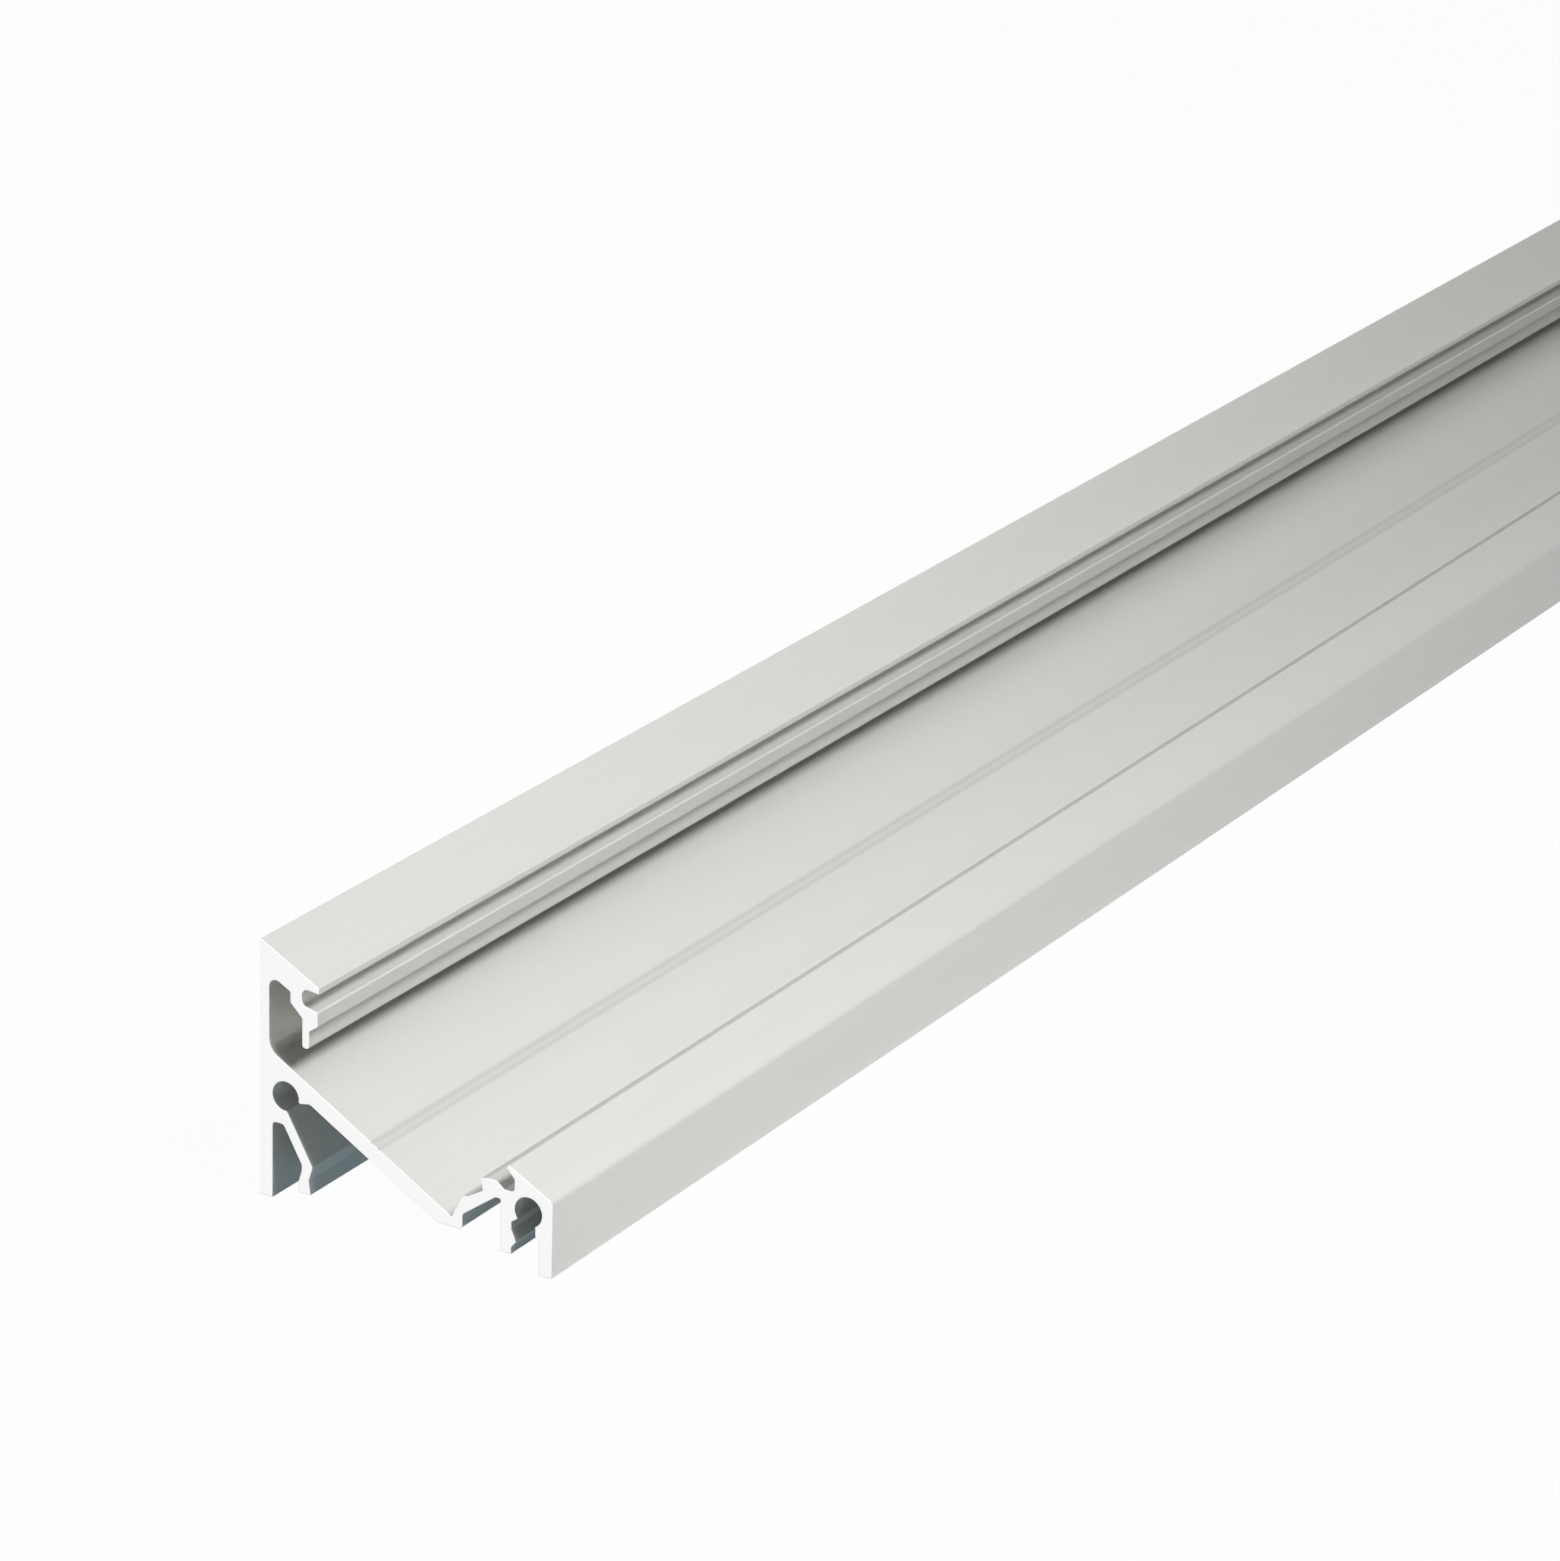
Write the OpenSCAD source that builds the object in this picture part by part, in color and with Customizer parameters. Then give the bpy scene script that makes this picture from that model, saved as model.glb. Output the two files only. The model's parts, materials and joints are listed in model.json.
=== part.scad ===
// Corner profile for LED strip: an extruded aluminium bar of one constant section.
// The section is drawn with x from the back wall to the front wall and y upwards.
// Angles are in degrees and sizes in millimetres.

/* [Bar] */
// Length between the two sawn ends
bar_len = 1000; // [100:50:3000]
// Width over the back wall and the front wall
base_w = 34; // [30:0.5:60]
// Height of the front wall
front_h = 8; // [7.5:0.1:12]
// Slope of the bed
tilt = 30; // [26:1:34]
// Slope of the two top faces, over the back groove and over the front wall
top_tilt = 28; // [26:0.5:30]

/* [Walls] */
// Thickness of the back wall above the bed
back_upper_t = 1.1; // [0.8:0.05:1.4]
// Thickness of the back wall below the bed
back_lower_t = 1.5; // [1:0.05:1.8]
// Thickness of the front wall
front_t = 1.5; // [1.2:0.05:1.8]
// Thickness of the bed that the strip is stuck to
bed_t = 1.75; // [1.2:0.05:2]
// Depth of the bed's low end below the top of the front wall
bed_drop = 4.5; // [4:0.1:5]
// Height of the back edge above the bed at the back wall
back_rise = 10.8; // [10.2:0.1:12]
// Radius of the outer edge at the top of the back wall
edge_r = 0.15; // [0.1:0.05:0.5]
// Radius of the outer edge at the top of the front wall
front_edge_r = 0.6; // [0.2:0.1:0.8]
// Radius of the small corners in the section
corner_r = 0.2; // [0.1:0.05:0.25]

/* [Back cover seat] */
// Reach of the back lip from the back face
lip_x = 6.95; // [6.5:0.05:7.5]
// Thickness of the back lip at its tip
lip_t = 0.65; // [0.4:0.05:0.8]
// Drop of the lip's underside from its root to its tip
lip_hook = 0.2; // [0.05:0.05:0.3]
// Radius of the top corner of both lips
lip_r = 0.2; // [0.05:0.05:0.3]
// Depth of the back groove behind the lip
groove_depth = 2; // [1.7:0.1:2.3]
// Height of the back groove at its root
groove_h = 1.7; // [1.4:0.1:1.9]
// Fall of the groove's floor towards the nose
groove_fall = 0.45; // [0.2:0.05:0.8]
// Radius in the root of the back groove
groove_r = 0.65; // [0.3:0.05:0.65]
// Set-back of the nose behind the lip's tip
nose_back = 0.15; // [0.05:0.05:0.4]
// Height of the nose's front face
nose_h = 1.5; // [1.2:0.1:2]

/* [Skirt] */
// Thickness of the skirt that hangs below the nose
skirt_t = 0.8; // [0.6:0.05:1]
// Set-back of the skirt behind the nose's front face
skirt_back = 1; // [0.8:0.05:1.4]
// Distance that the skirt's tip stands nearer to the back wall than its root
skirt_toe = 0; // [0:0.05:0.4]
// Fall of the nose's underside towards the skirt
nose_fall = 0.7; // [0.2:0.1:0.8]
// Length of the skirt below the nose
skirt_len = 1.9; // [1.4:0.1:3]
// Radius of the skirt's tip
skirt_r = 0.3; // [0.1:0.05:0.3]

/* [Upper pocket] */
// Depth of the pocket's ceiling below the sloped top face
flange_t = 2.6; // [2.2:0.1:2.8]
// Distance from the back face to the pocket's far side at its ceiling
pocket_x = 3.6; // [3.2:0.1:3.8]
// Height of the pocket's narrow top, down to where it widens
pocket_step = 1.1; // [0.9:0.05:1.3]
// Height over which the pocket widens to the skirt
pocket_flare = 1.35; // [1:0.05:1.8]
// Radius in the pocket's top corner
pocket_r = 0.8; // [0.4:0.1:0.9]
// Radius between the back wall and the bed
bed_fillet = 2; // [1:0.1:2.5]

/* [Bed marks] */
// Distance between the two centring lines on the bed
mark_gap = 0.95; // [0.6:0.05:2]
// Width of each centring line
mark_w = 0.3; // [0.2:0.05:0.4]
// Depth of each centring line
mark_depth = 0.15; // [0.1:0.05:0.2]
// Distance from the foot of the step to the middle of the two lines
mark_from_step = 10.3; // [8:0.1:12]

/* [Screw ports] */
// Radius of the two screw ports that take the end cap's screws
port_r = 1.55; // [1.3:0.05:1.6]
// Metal between the back port and the bed
port_roof = 1.5; // [1.2:0.05:1.8]
// Wall between the front port and the front face
port_wall = 1.2; // [1.1:0.05:1.5]
// Wall between the back port and the pocket below it
web_t = 1.5; // [1.2:0.1:1.8]
// Length of the cusps that stand out past each port's circle
cusp = 0.3; // [0.2:0.05:0.4]
// Angle from which the back port is open
back_mouth_from = -80; // [-84:1:-74]
// Angle up to which the back port is open
back_mouth_to = -11; // [-16:1:-6]
// Angle over which the mouth's edge beside the rib is eased into the back port
mouth_ease = 8; // [4:1:10]
// Rise of the lug's underside from the back port to the bed
lug_rise = 0.2; // [0.1:0.05:0.4]
// Depth of the front port's centre below the front rim
front_port_drop = 2.8; // [2.7:0.05:3]
// Angle from which the front port is open
front_mouth_from = 219; // [216:1:224]
// Angle up to which the front port is open
front_mouth_to = 299; // [294:1:302]

/* [Clip ribs] */
// Gap between the ribs' ends and the mounting surface
rib_clear = 1.4; // [1:0.1:2]
// Thickness of the slanted back rib
rib_t = 1.1; // [0.9:0.05:1.3]
// Lean of the back rib away from the back wall
rib_lean = 30; // [27:1:33]
// Height of the back rib's knee above the base
knee_h = 4.4; // [4:0.1:5]
// Depth of the notch below the back rib's knee
knee_notch = 0.45; // [0.2:0.05:0.6]
// Height of the straight below the knee on the rib's far side
knee_flat = 0.6; // [0.4:0.05:0.8]
// Height at which the back rib's straight end begins
tip_h = 2.6; // [2.2:0.1:2.8]
// Thickness of the back rib's end
tip_t = 1.4; // [1.2:0.05:1.6]
// Thickness of the front rib beside the port
front_rib_t = 1.6; // [1.4:0.05:1.8]
// Depth of the notch in the front rib
front_notch = 0.35; // [0.2:0.05:0.5]
// Height of the notch in the front rib
front_notch_h = 4; // [3.8:0.1:4.2]
// Height of the front rib's barb
barb_h = 2.8; // [2.4:0.1:3]
// Height of the barb's underside
barb_fall = 0.7; // [0.4:0.1:0.9]
// Reach of the front rib's barb past the rib's face
barb = 0.2; // [0.1:0.05:0.35]

/* [Front cover seat] */
// Width of the rim from the front face to the front lip's tip
rim_w = 5.2; // [5:0.1:5.6]
// Thickness of the front lip at its tip
front_lip_t = 0.5; // [0.4:0.05:0.7]
// Thickness of the front lip at its root
front_root_t = 1; // [0.8:0.05:1.2]
// Undercut of the front groove behind the lip's tip
undercut = 0.85; // [0.6:0.05:1]
// Width of the front groove's floor
front_floor_w = 1.15; // [0.8:0.05:1.3]
// Height of the seat beside the groove above the groove's floor
seat_h = 0.7; // [0.5:0.05:0.9]
// Height of the seat's inner side above the web
seat_side_h = 1.5; // [1.2:0.1:1.7]
// Width of the seat's flat top
seat_w = 1.8; // [1.5:0.1:2]
// Width of the slope between the seat and the groove's floor
seat_slope = 0.9; // [0.6:0.05:1.1]
// Undercut below the seat's inner edge
seat_under = 0.25; // [0.1:0.05:0.4]

/* [Step at the bed's end] */
// Distance from the front face to the foot of the step
step_x = 11.5; // [11:0.1:12]
// Height of the step
step_h = 2.6; // [2.2:0.05:2.8]
// Lean of the step's face away from the bed
step_lean = 26; // [20:1:30]
// Width of the shelf on the step
shelf_w = 0.45; // [0.3:0.05:0.7]
// Thickness of the foot between the step and the hollow behind it
foot_w = 1.25; // [1:0.05:1.4]
// Metal below the foot of the step
foot_t = 1; // [0.8:0.05:1.5]
// Height of the hollow's corner behind the step above the foot of the step
hollow_rise = 0.6; // [0.4:0.05:0.8]
// Thickness of the web below the front groove's floor
step_web_t = 1.1; // [0.9:0.05:1.3]
// Width of the flat between the front rib and the sloped web
web_flat = 0.6; // [0.4:0.05:0.9]

/* [Hidden] */
$fn = 96;
arc_steps = 6;
over = 1;

fine_r = corner_r / 2;
wide_r = corner_r * 2;
short_cusp = cusp / 2;
tip_back = knee_notch / 2;

foot_x = base_w - step_x;
back_h = bed_z(0) + back_rise;
port_x = back_lower_t + port_r;
port_z = bed_z(port_x) - (port_r + port_roof) / cos(tilt);
front_port_x = base_w - port_wall - port_r;
front_port_z = rim_z(front_port_x) - front_port_drop / cos(top_tilt);
front_rib_x = front_port_x - port_r - front_rib_t;
knee_x = port_x + (port_r + cusp) * cos(back_mouth_from)
    + (port_z + (port_r + cusp) * sin(back_mouth_from) - knee_h) * tan(rib_lean);
front_lip_x = base_w - rim_w;
front_groove_x = front_lip_x + undercut;
seat_x = front_groove_x - front_floor_w - seat_slope;
seat_z = front_h + seat_h;

// Height of the bed's surface, of its underside, of the back flange and of the front rim at x
function bed_z(x) = front_h - bed_drop + (foot_x - x) * tan(tilt);
function under_z(x) = bed_z(x) - bed_t / cos(tilt);
function flange_z(x) = back_h - x * tan(top_tilt);
function rim_z(x) = front_h + (base_w - x) * tan(top_tilt);

// Where the bed's underside stands at height z
function under_x(z) = (under_z(0) - z) / tan(tilt);

// A point at a distance and an angle from a centre
function polar(centre, r, angle) = centre + r * [cos(angle), sin(angle)];

// The arc that rounds the corner "at" between its two neighbours, or the bare corner at radius 0
function corner_arc(before, at, after, r) =
    r == 0 ? [at] :
    let (
        back = (before - at) / norm(before - at),
        ahead = (after - at) / norm(after - at),
        half = acos(back * ahead) / 2,
        middle = back + ahead,
        centre = at + middle / norm(middle) * r / sin(half),
        start = at + back * r / tan(half) - centre,
        side = sign(back[0] * ahead[1] - back[1] * ahead[0]),
        first = atan2(start[1], start[0]),
        sweep = -side * (180 - 2 * half)
    )
    [for (k = [0 : arc_steps]) polar(centre, r, first + sweep * k / arc_steps)];

// An outline from corners [x, z, radius]
function rounded(corners) =
    let (n = len(corners))
    [for (i = [0 : n - 1])
        let (
            before = corners[(i + n - 1) % n],
            at = corners[i],
            after = corners[(i + 1) % n]
        )
        each corner_arc([before[0], before[1]], [at[0], at[1]], [after[0], after[1]], at[2])];

// The outer shape before anything is cut out of it, open between the two lips
module envelope() {
    polygon(rounded([
        [0, 0, 0],
        [base_w, 0, 0],
        [base_w, front_h, front_edge_r],
        [front_lip_x, rim_z(front_lip_x), lip_r],
        [front_lip_x, seat_z + over, 0],
        [lip_x, bed_z(lip_x) + over, 0],
        [lip_x, flange_z(lip_x), lip_r],
        [0, back_h, edge_r]
    ]));
}

// The open trough over the bed, with the upper pocket, the skirt and both cover grooves
module trough() {
    lip_under = flange_z(lip_x) - lip_t;
    groove_x = lip_x - groove_depth;
    groove_top = lip_under + lip_hook;
    nose_x = lip_x - nose_back;
    nose_top = groove_top - groove_h - groove_fall;
    nose_bottom = nose_top - nose_h;
    skirt_face = nose_x - skirt_back;
    skirt_top = nose_bottom - nose_fall;
    skirt_tip = skirt_top - skirt_len;
    ceiling = flange_t / cos(top_tilt);
    knee_z = flange_z(pocket_x) - ceiling - pocket_step;
    step_top_x = foot_x + step_h * tan(step_lean);
    step_z = bed_z(foot_x) + step_h;
    polygon(rounded([
        [lip_x + over, flange_z(0), 0],
        [lip_x + over, lip_under, 0],
        [lip_x, lip_under, fine_r],
        [groove_x, groove_top, groove_r],
        [groove_x, groove_top - groove_h, groove_r],
        [nose_x, nose_top, corner_r],
        [nose_x, nose_bottom, corner_r],
        [skirt_face, skirt_top, corner_r],
        [skirt_face - skirt_toe, skirt_tip, skirt_r],
        [skirt_face - skirt_toe - skirt_t, skirt_tip, skirt_r],
        [skirt_face - skirt_t, knee_z - pocket_flare, corner_r],
        [pocket_x, knee_z, corner_r],
        [pocket_x, flange_z(pocket_x) - ceiling, corner_r],
        [back_upper_t, flange_z(back_upper_t) - ceiling, pocket_r],
        [back_upper_t, bed_z(back_upper_t), bed_fillet],
        [foot_x, bed_z(foot_x), corner_r],
        [step_top_x, step_z, corner_r],
        [step_top_x + shelf_w, step_z, corner_r],
        [seat_x - seat_w + seat_under, seat_z - seat_side_h, corner_r],
        [seat_x - seat_w, seat_z, corner_r],
        [seat_x, seat_z, corner_r],
        [seat_x + seat_slope, front_h, corner_r],
        [front_groove_x, front_h, wide_r],
        [front_groove_x, rim_z(front_groove_x) - front_root_t, corner_r],
        [front_lip_x, rim_z(front_lip_x) - front_lip_t, fine_r],
        [front_lip_x - over, rim_z(front_lip_x) - front_lip_t, 0],
        [front_lip_x - over, flange_z(0), 0]
    ]));
}

// The two centring lines, as fine V grooves in the bed
module bed_marks() {
    middle = foot_x - mark_from_step * cos(tilt);
    for (side = [-1, 1])
        translate([middle, bed_z(middle)])
            rotate(-tilt)
                translate([side * mark_gap / 2, 0])
                    polygon([[-mark_w, mark_depth], [0, -mark_depth], [mark_w, mark_depth]]);
}

// The hollow under the bed, with the mouth of the back port
module bed_hollow() {
    port = [port_x, port_z];
    cusp_at = polar(port, port_r + cusp, back_mouth_from);
    ease_at = polar(port, port_r - short_cusp, back_mouth_from - mouth_ease);
    lug_at = polar(port, port_r + cusp, back_mouth_to);
    lug_end = lug_at[1] + lug_rise;
    foot_z = bed_z(foot_x) - foot_t;
    polygon(rounded([
        [knee_x - tip_back, -over, 0],
        [knee_x - tip_back, rib_clear, 0],
        [knee_x - knee_notch, (rib_clear + knee_h) / 2, corner_r],
        [knee_x, knee_h, corner_r],
        [cusp_at[0], cusp_at[1], fine_r],
        [ease_at[0], ease_at[1], 0],
        [port_x, port_z, 0],
        [lug_at[0], lug_at[1], 0],
        [under_x(lug_end), lug_end, corner_r],
        [under_x(foot_z), foot_z, wide_r],
        [foot_x + foot_w, foot_z, wide_r],
        [foot_x + foot_w, bed_z(foot_x) + hollow_rise, wide_r],
        [front_rib_x - web_flat, front_h - step_web_t, corner_r],
        [front_rib_x, front_h - step_web_t, corner_r],
        [front_rib_x, -over, 0]
    ]));
}

// The pocket between the back wall and the slanted rib
module back_pocket() {
    top = port_z - port_r - web_t;
    rib_face = knee_x - rib_t / cos(rib_lean);
    polygon(rounded([
        [back_lower_t, -over, 0],
        [back_lower_t, top, wide_r],
        [rib_face - (top - knee_h) * tan(rib_lean), top, wide_r],
        [rib_face, knee_h, corner_r],
        [rib_face, knee_h - knee_flat, corner_r],
        [knee_x - tip_back - tip_t, tip_h, corner_r],
        [knee_x - tip_back - tip_t, -over, 0]
    ]));
}

// The mouth of the front port, between the front rib and the front wall
module front_mouth() {
    port = [front_port_x, front_port_z];
    rib_cusp = polar(port, port_r + cusp, front_mouth_from);
    wall_cusp = polar(port, port_r + short_cusp, front_mouth_to);
    rib_face = front_rib_x + front_rib_t;
    notch_x = rib_face - front_notch;
    polygon(rounded([
        [notch_x, -over, 0],
        [notch_x, barb_h - barb_fall, corner_r],
        [rib_face + barb, barb_h, corner_r],
        [notch_x, front_notch_h, corner_r],
        [notch_x, rib_cusp[1] - cusp, corner_r],
        [rib_cusp[0], rib_cusp[1], 0],
        [port[0], port[1], 0],
        [wall_cusp[0], wall_cusp[1], 0],
        [wall_cusp[0], front_notch_h, corner_r],
        [base_w - front_t, front_notch_h - front_notch, corner_r],
        [base_w - front_t, -over, 0]
    ]));
}

// The whole cross-section
module section() {
    difference() {
        envelope();
        trough();
        bed_marks();
        bed_hollow();
        back_pocket();
        front_mouth();
        translate([back_lower_t, -over])
            square([base_w - front_t - back_lower_t, rib_clear + over]);
        translate([port_x, port_z]) circle(port_r);
        translate([front_port_x, front_port_z]) circle(port_r);
    }
}

// The bar lies along Y, standing on the ends of its two outer walls, with its middle over the origin
module profile() {
    color("silver")
        rotate([90, 0, 0])
            linear_extrude(height = bar_len, center = true)
                translate([-base_w / 2, 0])
                    section();
}

profile();
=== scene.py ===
"""Dresses the corner LED strip profile and sets up its studio.

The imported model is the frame. The bar is modelled from a copy of it, with
finely rounded screw ports, an eased cover seat, deburred sawn ends and its
two finishes.
"""

import json
import math

import bpy
from bpy.props import (
    FloatProperty,
    FloatVectorProperty,
    IntProperty,
    PointerProperty,
)
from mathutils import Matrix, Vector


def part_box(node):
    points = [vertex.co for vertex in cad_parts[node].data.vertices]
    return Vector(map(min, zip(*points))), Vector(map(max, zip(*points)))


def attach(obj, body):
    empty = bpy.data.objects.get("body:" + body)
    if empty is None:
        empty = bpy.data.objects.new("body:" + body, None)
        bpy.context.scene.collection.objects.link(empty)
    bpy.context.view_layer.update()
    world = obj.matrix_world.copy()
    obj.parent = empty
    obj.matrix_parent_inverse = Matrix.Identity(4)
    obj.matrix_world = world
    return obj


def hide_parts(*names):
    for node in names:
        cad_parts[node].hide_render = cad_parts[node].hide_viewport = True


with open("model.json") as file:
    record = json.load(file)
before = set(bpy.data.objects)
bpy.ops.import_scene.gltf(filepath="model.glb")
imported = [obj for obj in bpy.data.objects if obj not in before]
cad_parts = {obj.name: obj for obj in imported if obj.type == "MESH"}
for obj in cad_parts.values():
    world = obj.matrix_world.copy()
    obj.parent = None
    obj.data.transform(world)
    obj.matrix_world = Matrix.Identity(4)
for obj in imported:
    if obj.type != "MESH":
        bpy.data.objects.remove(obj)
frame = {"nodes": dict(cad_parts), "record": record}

bl_info = {
    "name": "Corner LED strip profile",
    "version": (1, 0, 0),
    "blender": (4, 5, 0),
    "location": "3D View > Sidebar > LED Bar",
    "description": "Models the aluminium bar around its packed frame and lights it",
    "category": "Add Mesh",
}

MM = 0.001
BAR_NODE = "profile"
BAR_LOW, BAR_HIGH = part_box(BAR_NODE)
MOUNTS = {mount["name"]: mount for mount in frame["record"]["mounts"]}
PORTS = [mount for mount in MOUNTS.values() if mount["kind"] == "bore"]
BED = MOUNTS["strip_bed"]

# A cutter is this much longer than the bar, so that it comes out at both ends
OVERLENGTH = 1.02
# Points closer than this are joined, and flatter edges than this are cleared
MERGE_REACH = 0.01 * MM
FLAT_ANGLE = math.radians(0.2)
# Size of the seat's cutter down its slope and square to it, and how much of
# its length lies between the seat's edge and the cutter's middle
SEAT_CUTTER = (2 * MM, 1 * MM)
SEAT_CUTTER_DOWN = 0.3
# How squarely a face looks along the bar to be part of a sawn end, first
# without its deburred edge and then with it
SQUARE_END = 0.9
BEVELLED_END = 0.5

# Anodised finish: detail and harshness of the die lines, the broad bands'
# scale against the lines', and the size and stretch of the etched grain
LINE_DETAIL, LINE_HARSHNESS = 4.0, 0.62
BAND_ACROSS, BAND_ALONG, BAND_DETAIL = 0.16, 1.4, 1.0
ETCH_SIZE, ETCH_STRETCH, ETCH_DETAIL = 0.16 * MM, 0.6, 2.0
# How much each pattern changes the tone, the dullness and the relief
LINE_TONE, BAND_TONE, ETCH_TONE = 0.06, 0.08, 0.02
LINE_DULLNESS, ETCH_DULLNESS = 0.12, 0.06
LINE_RELIEF, ETCH_RELIEF, ANODISED_RELIEF = 0.75, 0.25, 0.006 * MM
# Half the width of the painted shade along one centring line, and how far off the bed's plane it
# reaches
MARK_LINE = 0.3 * MM
MARK_REACH = 0.4 * MM

# Sawn finish: where the blade's middle is, in blade radii to the front and
# down, the saw marks' waver, and the scratches across and along the marks
BLADE_ASIDE, BLADE_DOWN = 0.62, 0.785
WAVER_SCALE, WAVER_DETAIL, WAVER = 260, 2.0, 5.0
SCRATCH_ACROSS, SCRATCH_ALONG = 16000, 300
SCRATCH_DETAIL, SCRATCH_HARSHNESS = 3.0, 0.6
MARKS_TONE, SCRATCH_TONE, SCRATCH_DULLNESS = 0.02, 0.05, 0.2
SAWN_RELIEF = 0.005 * MM

# The floor lies this far below the bar
FLOOR_DROP = 0.02 * MM
# Places and widths of the lamps above and behind the bar
ROOF_PLACE, ROOF_WIDTH = (-0.7, -1.1, 2.3), 3.0
BACK_PLACE, BACK_WIDTH = (-0.8, -0.1, 0.16), 0.3
# The lamps face a point this share of the way from the bar's middle to its near end
AIM_SHARE = 0.9
# Nearest and farthest that the camera sees, in metres
CAMERA_REACH = (0.01, 200)


# Sizes and colours


class BarLook(bpy.types.PropertyGroup):
    """Sizes and finishes of the bar."""

    port_sides: IntProperty(
        name="Port sides",
        description="How many flat sides each round screw port is cut with",
        default=72,
        min=24,
        max=256,
    )
    deburr: FloatProperty(
        name="Deburred edge",
        description="Width of the small bevel round both sawn ends",
        default=0.06 * MM,
        min=0.01 * MM,
        max=0.12 * MM,
        precision=5,
        subtype="DISTANCE",
        unit="LENGTH",
    )
    smooth_angle: FloatProperty(
        name="Smooth up to",
        description="Edges flatter than this angle are shaded as one curve",
        default=math.radians(28),
        subtype="ANGLE",
        unit="ROTATION",
    )
    seat_edge: FloatVectorProperty(
        name="Cover seat edge",
        description="Where in the section, x and z, the eased edge of the front cover's seat starts",
        size=2,
        default=(9.6 * MM, 8.7 * MM),
        precision=5,
        unit="LENGTH",
    )
    seat_fall: FloatProperty(
        name="Cover seat fall",
        description="Slope of the seat's eased edge towards the bed",
        default=math.radians(18),
        min=math.radians(5),
        max=math.radians(40),
        subtype="ANGLE",
        unit="ROTATION",
    )
    anodised_colour: FloatVectorProperty(
        name="Anodised colour",
        description="Colour of the satin anodised faces",
        default=(0.69, 0.693, 0.66),
        min=0.0,
        max=1.0,
        subtype="COLOR",
    )
    anodised_roughness: FloatProperty(
        name="Anodised roughness",
        description="How dull the satin faces are",
        default=0.42,
        min=0.05,
        max=1.0,
        subtype="FACTOR",
    )
    mirror_share: FloatProperty(
        name="Mirror share",
        description="How much of the light the anodised film mirrors rather than scatters",
        default=0.3,
        min=0.0,
        max=1.0,
        subtype="FACTOR",
    )
    line_width: FloatProperty(
        name="Die line width",
        description="Width of the widest lines that the die draws along the bar",
        default=0.7 * MM,
        precision=5,
        subtype="DISTANCE",
        unit="LENGTH",
    )
    line_length: FloatProperty(
        name="Die line length",
        description="How far a die line runs before it fades",
        default=0.35,
        subtype="DISTANCE",
        unit="LENGTH",
    )
    mark_place: FloatProperty(
        name="Centring mark place",
        description="Distance down the bed from its mount point to the centring mark",
        default=-1.64 * MM,
        precision=5,
        subtype="DISTANCE",
        unit="LENGTH",
    )
    mark_width: FloatProperty(
        name="Centring mark width",
        description="Width of the darker band that takes in both centring lines",
        default=1.6 * MM,
        precision=5,
        subtype="DISTANCE",
        unit="LENGTH",
    )
    mark_gap: FloatProperty(
        name="Centring line gap",
        description="Distance between the two centring lines",
        default=0.95 * MM,
        precision=5,
        subtype="DISTANCE",
        unit="LENGTH",
    )
    mark_tone: FloatProperty(
        name="Centring mark tone",
        description="How much darker the centring mark is than the bed",
        default=0.06,
        min=0.0,
        max=1.0,
        subtype="FACTOR",
    )
    # Painted shade along the two scored centring lines
    groove_shade: FloatProperty(
        name="Centring line tone",
        description="How much darker still the two centring lines are",
        default=0.08,
        min=0.0,
        max=1.0,
        subtype="FACTOR",
    )
    sawn_colour: FloatVectorProperty(
        name="Sawn colour",
        description="Colour of the bare metal on the sawn ends",
        default=(0.97, 0.97, 0.97),
        min=0.0,
        max=1.0,
        subtype="COLOR",
    )
    sawn_roughness: FloatProperty(
        name="Sawn roughness",
        description="How dull the sawn ends are",
        default=0.36,
        min=0.05,
        max=1.0,
        subtype="FACTOR",
    )
    blade_radius: FloatProperty(
        name="Saw blade radius",
        description="Radius of the arcs that the blade leaves on the ends",
        default=150 * MM,
        subtype="DISTANCE",
        unit="LENGTH",
    )
    tooth_pitch: FloatProperty(
        name="Saw mark pitch",
        description="Distance from one saw mark to the next",
        default=0.45 * MM,
        precision=5,
        subtype="DISTANCE",
        unit="LENGTH",
    )


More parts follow.
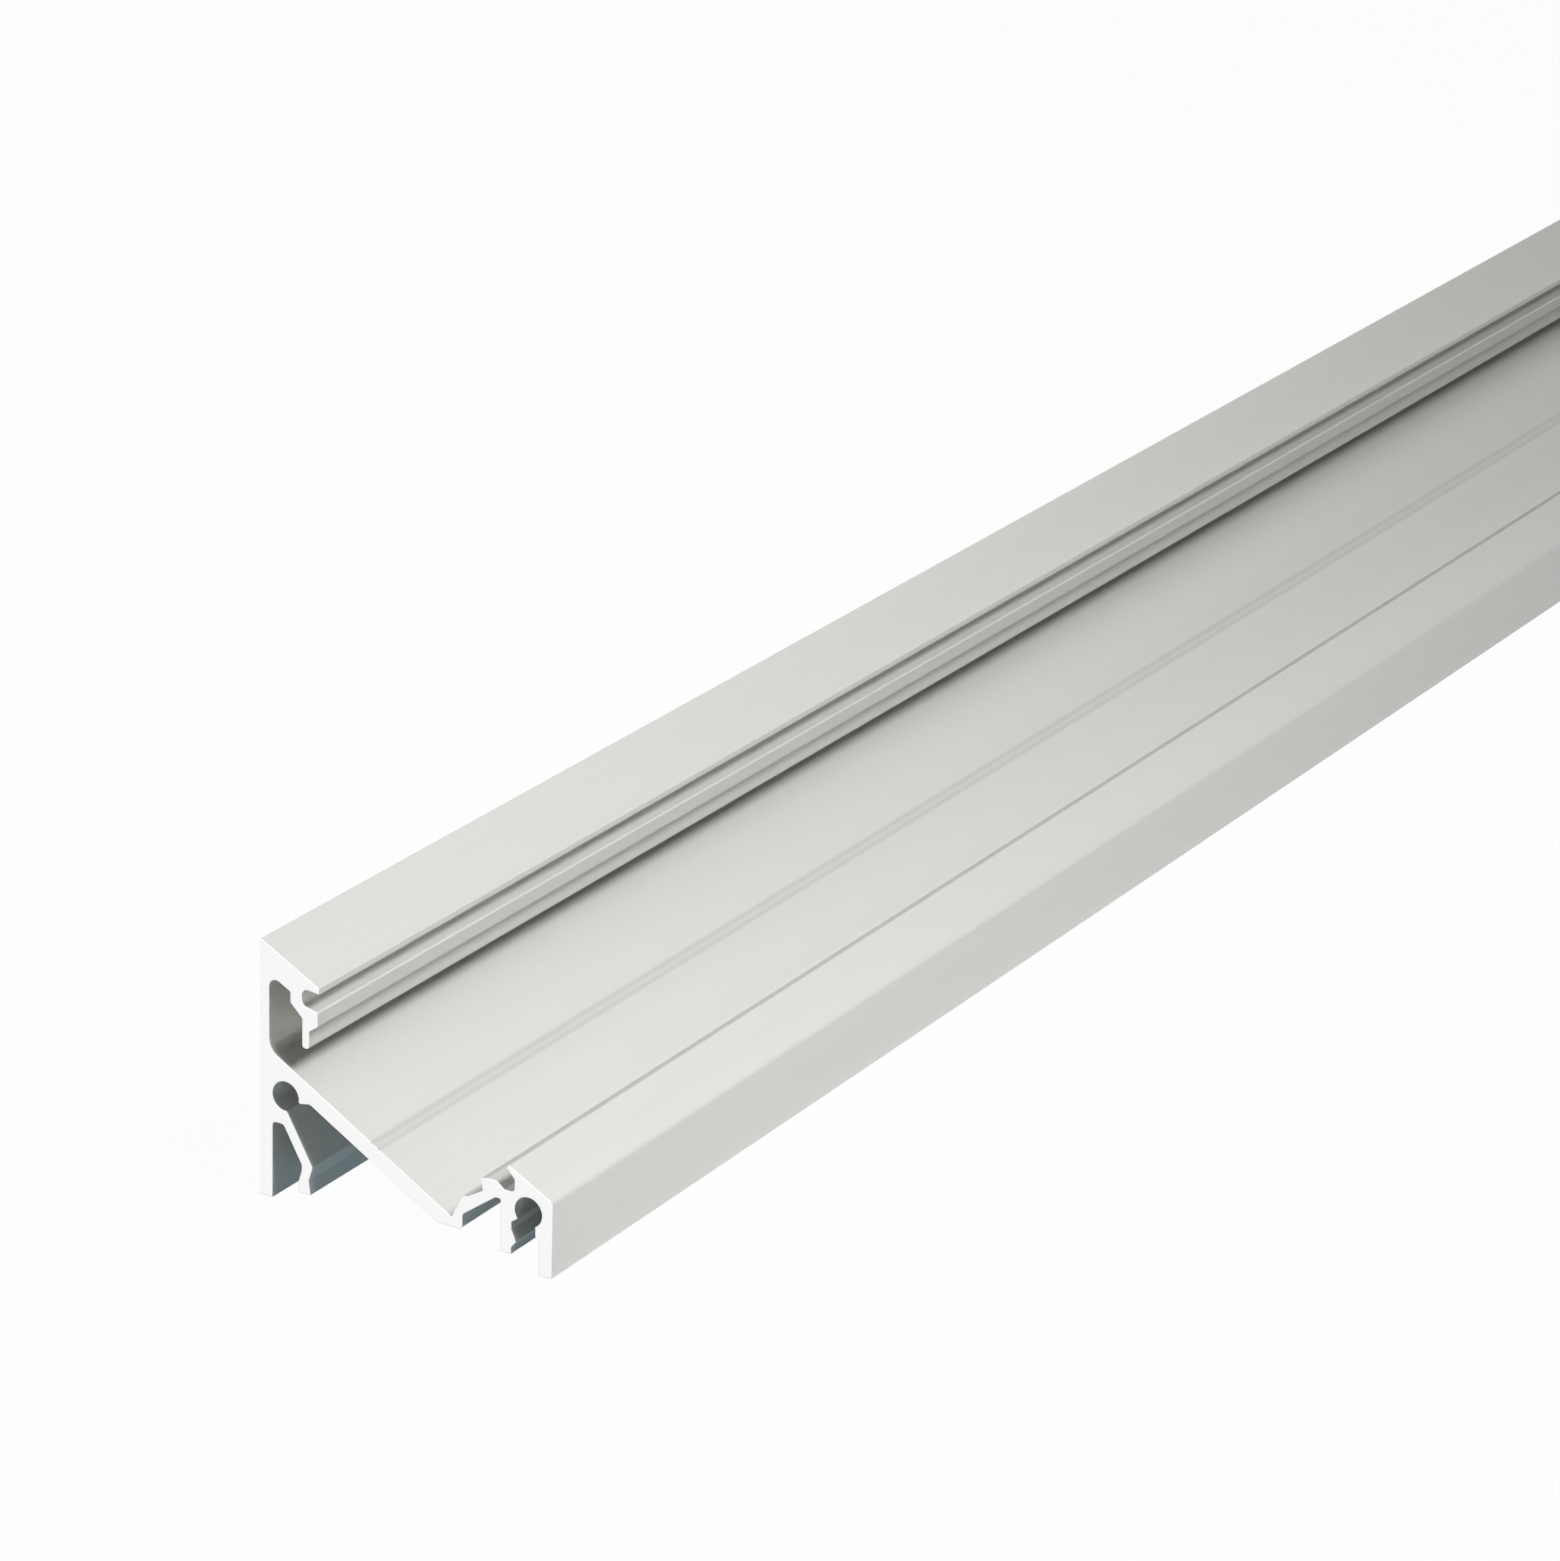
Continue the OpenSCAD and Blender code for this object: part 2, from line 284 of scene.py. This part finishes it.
class StudioLook(bpy.types.PropertyGroup):
    """Floor, lamps and camera."""

    floor_size: FloatProperty(
        name="Floor size",
        description="Length of each side of the floor",
        default=60.0,
        subtype="DISTANCE",
        unit="LENGTH",
    )
    floor_colour: FloatVectorProperty(
        name="Floor colour",
        description="Colour that the floor throws back on the bar",
        default=(0.65, 0.654, 0.683),
        min=0.0,
        max=1.0,
        subtype="COLOR",
    )
    white_share: FloatProperty(
        name="White share",
        description="How much of the floor's look is plain white, which leaves the shadow faint",
        default=0.972,
        min=0.0,
        max=1.0,
        subtype="FACTOR",
    )
    room_level: FloatProperty(
        name="Room level",
        description="Strength of the even light that comes from all round",
        default=0.04,
        min=0.0,
    )
    roof_power: FloatProperty(
        name="Roof lamp power",
        description="Power of the large lamp above the bar",
        default=2.5,
        min=0.0,
        unit="POWER",
    )
    back_power: FloatProperty(
        name="Back lamp power",
        description="Power of the low lamp behind the bar",
        default=2.4,
        min=0.0,
        unit="POWER",
    )
    side_power: FloatProperty(
        name="Side lamp power",
        description="Power of the lamp beside the bar's near end",
        default=0.85,
        min=0.0,
        unit="POWER",
    )
    side_place: FloatVectorProperty(
        name="Side lamp place",
        description="Where the lamp beside the bar's near end hangs",
        default=(0.163, -0.49, 0.262),
        subtype="XYZ",
        unit="LENGTH",
    )
    side_size: FloatProperty(
        name="Side lamp size",
        description="Width of the lamp beside the bar's near end",
        default=0.12,
        min=0.05,
        subtype="DISTANCE",
        unit="LENGTH",
    )
    # Painted glow: light that the floor under the bar gives off into the bar's hollows
    painted_glow_under_bar: FloatVectorProperty(
        name="Glow under the bar",
        description="The light that the bar's underside picks up from the floor",
        default=(0.2, 0.27, 0.31),
        min=0.0,
        max=1.0,
        subtype="COLOR",
    )
    camera_place: FloatVectorProperty(
        name="Camera place",
        description="Where the camera stands",
        default=(0.30706, -0.95975, 0.26499),
        subtype="XYZ",
        unit="LENGTH",
    )
    camera_turn: FloatVectorProperty(
        name="Camera turn",
        description="How the camera is turned",
        default=(math.radians(68.5785), math.radians(-1.7154), math.radians(30.7758)),
        subtype="EULER",
        unit="ROTATION",
    )
    focal_length: FloatProperty(
        name="Focal length",
        description="Focal length of the camera's lens, in millimetres",
        default=145.257,
        subtype="DISTANCE_CAMERA",
    )


# Node sums


class Signal:
    """One output of a node, which takes part in sums as a number does."""

    def __init__(self, recipe, socket):
        self.recipe = recipe
        self.socket = socket

    def _sum(self, operation, *values):
        """One Math node on signals and numbers."""
        return self.recipe.add(
            "ShaderNodeMath", {"operation": operation}, dict(enumerate(values))
        )

    def __add__(self, other):
        return self._sum("ADD", self, other)

    def __radd__(self, other):
        return self._sum("ADD", other, self)

    def __sub__(self, other):
        return self._sum("SUBTRACT", self, other)

    def __rsub__(self, other):
        return self._sum("SUBTRACT", other, self)

    def __mul__(self, other):
        return self._sum("MULTIPLY", self, other)

    def __rmul__(self, other):
        return self._sum("MULTIPLY", other, self)

    def __pow__(self, other):
        return self._sum("POWER", self, other)

    def sine(self):
        """Sine of the signal, in radians."""
        return self._sum("SINE", self)

    def size(self):
        """The signal without its sign."""
        return self._sum("ABSOLUTE", self)

    def above(self, limit):
        """1 where the signal is above a limit, and 0 elsewhere."""
        return self._sum("GREATER_THAN", self, limit)

    def highest(self, other):
        """The higher of this signal and another."""
        return self._sum("MAXIMUM", self, other)


class Recipe:
    """The nodes of one material or world."""

    def __init__(self, owner):
        owner.use_nodes = True
        self.tree = owner.node_tree
        self.tree.nodes.clear()

    def add(self, kind, settings=None, inputs=None, output=0):
        """Adds one node, sets it, fills or links its inputs, and returns one output."""
        node = self.tree.nodes.new(kind)
        for name, value in (settings or {}).items():
            setattr(node, name, value)
        for name, value in (inputs or {}).items():
            if isinstance(value, Signal):
                self.tree.links.new(value.socket, node.inputs[name])
            else:
                node.inputs[name].default_value = value
        return Signal(self, node.outputs[output]) if node.outputs else None

    def place(self):
        """The x, y and z of a point on the piece, in metres."""
        point = self.add("ShaderNodeTexCoord", output="Object")
        split = self.add("ShaderNodeSeparateXYZ", inputs={"Vector": point})
        outputs = split.socket.node.outputs
        return [Signal(self, outputs[axis]) for axis in "XYZ"]

    def vector(self, x, y, z):
        """Three signals as one vector."""
        return self.add("ShaderNodeCombineXYZ", inputs={"X": x, "Y": y, "Z": z})

    def noise(self, point, detail, roughness=0.5):
        """Smooth random values from 0 to 1, one unit of the point across."""
        return self.add(
            "ShaderNodeTexNoise",
            {"noise_dimensions": "3D"},
            {"Vector": point, "Scale": 1.0, "Detail": detail, "Roughness": roughness},
        )

    def tone(self, colour, amount):
        """A colour made lighter or darker by a signal round 1."""
        return self.add(
            "ShaderNodeVectorMath",
            {"operation": "SCALE"},
            {0: colour, "Scale": amount},
        )

    def bump(self, height, distance):
        """Surface relief from a signal that stands for a height of 0 to 1."""
        return self.add(
            "ShaderNodeBump", inputs={"Height": height, "Distance": distance}
        )

    def metal(self, **sockets):
        """A principled shader as the material's surface."""
        shader = self.add("ShaderNodeBsdfPrincipled", inputs=sockets)
        self.add("ShaderNodeOutputMaterial", inputs={"Surface": shader})

    def seen_rays(self):
        """Two signals, 1 for what the camera sees directly, and in gloss or through glass."""
        paths = self.add("ShaderNodeLightPath").socket.node.outputs
        gloss = Signal(self, paths["Is Glossy Ray"])
        through = Signal(self, paths["Is Transmission Ray"])
        return Signal(self, paths["Is Camera Ray"]), gloss.highest(through)

    def mix(self, share, first, second):
        """Two shaders, the second one by its share."""
        return self.add("ShaderNodeMixShader", inputs={0: share, 1: first, 2: second})


# Finishes


def anodised_finish(look):
    """Satin anodised aluminium with the die's lines along the bar."""
    material = bpy.data.materials.new("satin_anodised")
    recipe = Recipe(material)
    x, y, z = recipe.place()
    across = 1 / look.line_width
    along = 1 / look.line_length
    lines = recipe.noise(
        recipe.vector(x * across, y * along, z * across), LINE_DETAIL, LINE_HARSHNESS
    )
    bands = recipe.noise(
        recipe.vector(
            x * across * BAND_ACROSS, y * along * BAND_ALONG, z * across * BAND_ACROSS
        ),
        BAND_DETAIL,
    )
    grain = 1 / ETCH_SIZE
    etch = recipe.noise(
        recipe.vector(x * grain, y * grain * ETCH_STRETCH, z * grain), ETCH_DETAIL
    )
    drift = (lines - 0.5) * LINE_TONE + (bands - 0.5) * BAND_TONE + (etch - 0.5) * ETCH_TONE
    # The centring mark darkens the bed, with painted shade along its scored lines
    drift = drift - centring_mark_and_groove_shade(look, x, z)
    dullness = (
        look.anodised_roughness + (lines - 0.5) * LINE_DULLNESS + (etch - 0.5) * ETCH_DULLNESS
    )
    recipe.metal(
        **{
            "Base Color": recipe.tone(tuple(look.anodised_colour), drift + 1.0),
            "Metallic": look.mirror_share,
            "Roughness": dullness,
            "Normal": recipe.bump(lines * LINE_RELIEF + etch * ETCH_RELIEF, ANODISED_RELIEF),
        }
    )
    return material


def centring_mark_and_groove_shade(look, x, z):
    """How much the bed's centring mark darkens a point: a darker band, and painted shade along its
    two scored lines.
    """
    middle, lean = BED["pos_m"], BED["axis"]
    down = (x - middle[0]) * lean[2] - (z - middle[2]) * lean[0]
    above = (x - middle[0]) * lean[0] + (z - middle[2]) * lean[2]
    aside = (down - look.mark_place).size()
    band = 1 - (aside * (2 / look.mark_width)) ** 4
    # Painted shade along the two scored lines, where the grooves lie in shade
    line = 1 - ((aside - look.mark_gap / 2) * (1 / MARK_LINE)) ** 2
    tone = band.highest(0) * look.mark_tone + line.highest(0) * look.groove_shade
    return tone * (1 - above.size().above(MARK_REACH))


def sawn_finish(look):
    """Bare aluminium with the shallow arcs of a saw blade."""
    material = bpy.data.materials.new("sawn_bare")
    recipe = Recipe(material)
    x, _, z = recipe.place()
    aside = x - BLADE_ASIDE * look.blade_radius
    up = z + BLADE_DOWN * look.blade_radius
    reach = (aside * aside + up * up) ** 0.5
    waver = recipe.noise(
        recipe.vector(x * WAVER_SCALE, 0.0, z * WAVER_SCALE), WAVER_DETAIL
    )
    turns = 2 * math.pi / look.tooth_pitch
    marks = (reach * turns + waver * WAVER).sine() * 0.5 + 0.5
    scratch = recipe.noise(
        recipe.vector(reach * SCRATCH_ACROSS, (x + z) * SCRATCH_ALONG, 0.0),
        SCRATCH_DETAIL,
        SCRATCH_HARSHNESS,
    )
    drift = (marks - 0.5) * MARKS_TONE + (scratch - 0.5) * SCRATCH_TONE
    recipe.metal(
        **{
            "Base Color": recipe.tone(tuple(look.sawn_colour), drift + 1.0),
            "Metallic": 1.0,
            "Roughness": look.sawn_roughness + (scratch - 0.5) * SCRATCH_DULLNESS,
            "Normal": recipe.bump(marks * 0.5 + scratch * 0.5, SAWN_RELIEF),
        }
    )
    return material


# Modelling helpers


def pick(piece):
    """Selects one object alone and makes it active."""
    bpy.ops.object.select_all(action="DESELECT")
    piece.select_set(True)
    bpy.context.view_layer.objects.active = piece


def pick_end(piece, side):
    """Goes into edit mode with only the faces of one sawn end selected."""
    pick(piece)
    bpy.ops.object.mode_set(mode="EDIT")
    bpy.ops.mesh.select_mode(type="FACE")
    bpy.ops.mesh.select_all(action="DESELECT")
    bpy.ops.object.mode_set(mode="OBJECT")
    for face in piece.data.polygons:
        face.select = face.normal.y * side > SQUARE_END
    bpy.ops.object.mode_set(mode="EDIT")


def finish_modifier(piece, kind, **settings):
    """Adds a modifier and applies it."""
    modifier = piece.modifiers.new(kind.title(), kind)
    for name, value in settings.items():
        setattr(modifier, name, value)
    pick(piece)
    bpy.ops.object.modifier_apply(modifier=modifier.name)


def merged_copy(node, name):
    """A copy of a CAD node whose loose triangles are one closed skin of flat faces."""
    piece = bpy.data.objects.new(name, frame["nodes"][node].data.copy())
    piece.data.name = name
    bpy.context.scene.collection.objects.link(piece)
    merge_skin(piece)
    return piece


def merge_skin(piece):
    """Joins points that nearly touch, and clears the edges inside flat faces."""
    pick(piece)
    bpy.ops.object.mode_set(mode="EDIT")
    bpy.ops.mesh.select_all(action="SELECT")
    bpy.ops.mesh.remove_doubles(threshold=MERGE_REACH)
    bpy.ops.mesh.dissolve_limited(angle_limit=FLAT_ANGLE)
    bpy.ops.object.mode_set(mode="OBJECT")


def cut_away(piece, cutter):
    """Cuts one object's shape out of a piece, and removes the cutter."""
    finish_modifier(piece, "BOOLEAN", operation="DIFFERENCE", solver="EXACT", object=cutter)
    bpy.data.objects.remove(cutter)


def bore_port(piece, mount, sides):
    """Cuts a screw port again along the bar, with finer rounding."""
    radius = mount["dims"]["r_mm"] * MM
    bpy.ops.object.select_all(action="DESELECT")
    bpy.ops.mesh.primitive_cylinder_add(
        vertices=sides,
        radius=radius / math.cos(math.pi / sides),
        depth=(BAR_HIGH.y - BAR_LOW.y) * OVERLENGTH,
        location=mount["pos_m"],
        rotation=(math.radians(90), 0, 0),
    )
    cut_away(piece, bpy.context.object)


def ease_seat(piece, edge, fall):
    """Slopes the inner edge of the front cover's seat down towards the bed."""
    reach, height = SEAT_CUTTER
    down = reach * SEAT_CUTTER_DOWN
    bpy.ops.object.select_all(action="DESELECT")
    bpy.ops.mesh.primitive_cube_add(
        size=1,
        location=(
            edge[0] - math.cos(fall) * down - math.sin(fall) * height / 2,
            0,
            edge[1] - math.sin(fall) * down + math.cos(fall) * height / 2,
        ),
        rotation=(0, -fall, 0),
        scale=(reach, (BAR_HIGH.y - BAR_LOW.y) * OVERLENGTH, height),
    )
    cut_away(piece, bpy.context.object)


def deburr_end(piece, side, width):
    """Bevels the edge all round one sawn end, within the bar's length."""
    pick_end(piece, side)
    bpy.ops.transform.translate(value=(0, -side * width, 0))
    bpy.ops.mesh.inset(thickness=width, depth=width)
    bpy.ops.object.mode_set(mode="OBJECT")


# Operators


class LEDBAR_OT_bar(bpy.types.Operator):
    """Model the aluminium bar in place of its CAD node"""

    bl_idname = "ledbar.bar"
    bl_label = "Bar"

    def execute(self, context):
        look = context.scene.ledbar_bar
        bar = merged_copy(BAR_NODE, "aluminium_bar")
        for mount in PORTS:
            bore_port(bar, mount, look.port_sides)
        ease_seat(bar, look.seat_edge, look.seat_fall)
        merge_skin(bar)
        for side in (-1, 1):
            deburr_end(bar, side, look.deburr)

        bar.data.materials.clear()
        bar.data.materials.append(anodised_finish(look))
        bar.data.materials.append(sawn_finish(look))
        for face in bar.data.polygons:
            face.material_index = int(abs(face.normal.y) > BEVELLED_END)
        pick(bar)
        bpy.ops.object.shade_smooth_by_angle(angle=look.smooth_angle)
        finish_modifier(bar, "WEIGHTED_NORMAL", keep_sharp=True)

        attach(bar, "root")
        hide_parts(BAR_NODE)
        return {"FINISHED"}


class LEDBAR_OT_studio(bpy.types.Operator):
    """Set up the floor, the room, the lamps and the camera"""

    bl_idname = "ledbar.studio"
    bl_label = "Studio"

    def execute(self, context):
        look = context.scene.ledbar_studio
        self.lay_floor(look)
        self.fill_room(context.scene, look)
        self.hang_lamp("roof_lamp", ROOF_PLACE, ROOF_WIDTH, look.roof_power)
        self.hang_lamp("back_lamp", BACK_PLACE, BACK_WIDTH, look.back_power)
        self.hang_lamp("side_lamp", look.side_place, look.side_size, look.side_power)
        self.set_camera(context.scene, look)
        context.scene.view_settings.view_transform = "Standard"
        return {"FINISHED"}

    def lay_floor(self, look):
        """A pale floor just under the bar, white to the camera and in gloss, with a painted glow
        under the bar that lights its hollows.
        """
        bpy.ops.object.select_all(action="DESELECT")
        bpy.ops.mesh.primitive_plane_add(
            size=look.floor_size, location=(0, 0, -FLOOR_DROP)
        )
        floor = bpy.context.object
        floor.name = "studio_floor"
        material = bpy.data.materials.new("pale_floor")
        recipe = Recipe(material)
        matt = recipe.add(
            "ShaderNodeBsdfDiffuse", inputs={"Color": (*look.floor_colour, 1)}
        )
        white = recipe.add("ShaderNodeEmission", inputs={"Strength": 1.0})
        # Painted glow of the floor under the bar, which lights the bar's hollows
        painted_glow = recipe.add("ShaderNodeEmission", inputs={"Color": (*look.painted_glow_under_bar, 1)})
        x, y, _ = recipe.place()
        beyond = x.size().above(BAR_HIGH.x).highest(y.size().above(BAR_HIGH.y))
        direct, mirrored = recipe.seen_rays()
        share = direct * look.white_share + mirrored * beyond
        # Under the bar the floor gives off the painted glow in place of its lit matt colour
        surface = recipe.mix(share, recipe.mix(beyond, painted_glow, matt), white)
        recipe.add("ShaderNodeOutputMaterial", inputs={"Surface": surface})
        floor.data.materials.append(material)

    def fill_room(self, scene, look):
        """Even light from all round, white to the camera and in gloss."""
        world = bpy.data.worlds.new("studio_room")
        recipe = Recipe(world)
        light = recipe.add(
            "ShaderNodeBackground", inputs={"Strength": look.room_level}
        )
        white = recipe.add("ShaderNodeBackground", inputs={"Strength": 1.0})
        for background in (light, white):
            background.socket.node.inputs["Color"].default_value = (1, 1, 1, 1)
        direct, mirrored = recipe.seen_rays()
        surface = recipe.mix(direct.highest(mirrored), light, white)
        recipe.add("ShaderNodeOutputWorld", inputs={"Surface": surface})
        scene.world = world

    def hang_lamp(self, name, place, size, power):
        """A round soft lamp that faces the bar close to its near end."""
        bpy.ops.object.light_add(type="AREA", location=place)
        lamp = bpy.context.object
        lamp.name = name
        lamp.data.shape = "DISK"
        lamp.data.size = size
        lamp.data.energy = power
        lamp.visible_camera = False
        aim = BAR_LOW.lerp(BAR_HIGH, 0.5)
        aim.y = BAR_LOW.y * AIM_SHARE
        lamp.rotation_euler = (aim - lamp.location).to_track_quat("-Z", "Y").to_euler()

    def set_camera(self, scene, look):
        """The camera at the photograph's viewing angle."""
        bpy.ops.object.camera_add(
            location=look.camera_place, rotation=look.camera_turn
        )
        camera = bpy.context.object
        camera.name = "studio_camera"
        camera.data.lens = look.focal_length
        camera.data.clip_start, camera.data.clip_end = CAMERA_REACH
        scene.camera = camera


class LEDBAR_PT_panel(bpy.types.Panel):
    """Sizes, finishes and buttons for the bar and its studio"""

    bl_idname = "LEDBAR_PT_panel"
    bl_label = "LED Bar"
    bl_space_type = "VIEW_3D"
    bl_region_type = "UI"
    bl_category = "LED Bar"

    def draw(self, context):
        for title, look, button in (
            ("Bar", context.scene.ledbar_bar, LEDBAR_OT_bar),
            ("Studio", context.scene.ledbar_studio, LEDBAR_OT_studio),
        ):
            column = self.layout.column(heading=title)
            for name in look.__annotations__:
                column.prop(look, name)
            column.operator(button.bl_idname)


CLASSES = (BarLook, StudioLook, LEDBAR_OT_bar, LEDBAR_OT_studio, LEDBAR_PT_panel)


def register():
    """Makes the operators, the panel and their settings known to Blender."""
    for made in CLASSES:
        bpy.utils.register_class(made)
    bpy.types.Scene.ledbar_bar = PointerProperty(type=BarLook)
    bpy.types.Scene.ledbar_studio = PointerProperty(type=StudioLook)


def unregister():
    """Takes the operators, the panel and their settings out again."""
    del bpy.types.Scene.ledbar_studio
    del bpy.types.Scene.ledbar_bar
    for made in reversed(CLASSES):
        bpy.utils.unregister_class(made)


def main():
    """Makes the bar and its studio."""
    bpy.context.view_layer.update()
    register()
    bpy.ops.ledbar.bar()
    bpy.ops.ledbar.studio()


if __name__ == "__main__":
    main()
